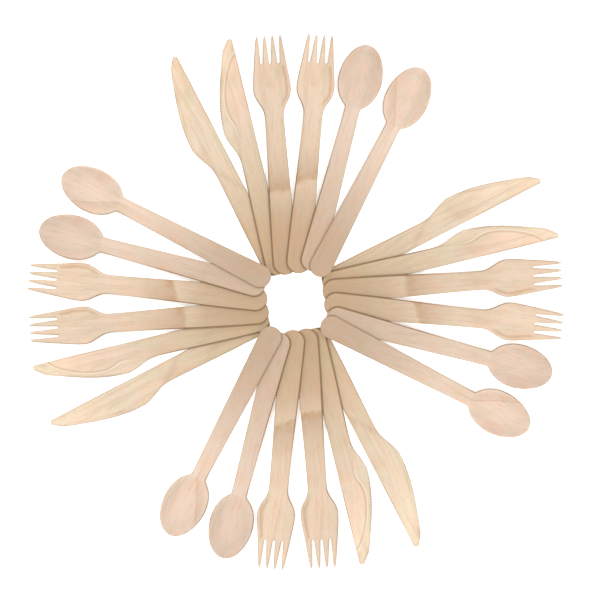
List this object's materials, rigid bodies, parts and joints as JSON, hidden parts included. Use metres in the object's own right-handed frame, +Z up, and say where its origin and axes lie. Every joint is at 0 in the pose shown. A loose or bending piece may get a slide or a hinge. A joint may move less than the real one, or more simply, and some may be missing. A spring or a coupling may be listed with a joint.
{
  "type": "wooden cutlery set",
  "caption": "Disposable wooden knives, forks and spoons laid in overlapping fans around an open square centre, for eating and serving food.",
  "frame": {"origin": "centre of the four fans, on the table under them", "axes": "+Z up from the table, +Y along the first fan, +X to the right of it seen from above"},
  "size_m": [0.3636, 0.3636, 0.0114],
  "materials": {
    "birch_knife": "bare pressed birch veneer, matt, fine lengthwise grain",
    "birch_fork": "bare pressed birch veneer, matt, fine lengthwise grain",
    "birch_spoon": "bare pressed birch veneer, matt, fine lengthwise grain"
  },
  "bodies": {
    "root": {"fan1_knife_lower": "birch_knife", "fan1_knife_upper": "birch_knife", "fan1_fork_lower": "birch_fork", "fan1_fork_upper": "birch_fork", "fan1_spoon_lower": "birch_spoon", "fan1_spoon_upper": "birch_spoon", "fan2_knife_lower": "birch_knife", "fan2_knife_upper": "birch_knife", "fan2_fork_lower": "birch_fork", "fan2_fork_upper": "birch_fork", "fan2_spoon_lower": "birch_spoon", "fan2_spoon_upper": "birch_spoon", "fan3_knife_lower": "birch_knife", "fan3_knife_upper": "birch_knife", "fan3_fork_lower": "birch_fork", "fan3_fork_upper": "birch_fork", "fan3_spoon_lower": "birch_spoon", "fan3_spoon_upper": "birch_spoon", "fan4_knife_lower": "birch_knife", "fan4_knife_upper": "birch_knife", "fan4_fork_lower": "birch_fork", "fan4_fork_upper": "birch_fork", "fan4_spoon_lower": "birch_spoon", "fan4_spoon_upper": "birch_spoon"}
  },
  "joints": []
}
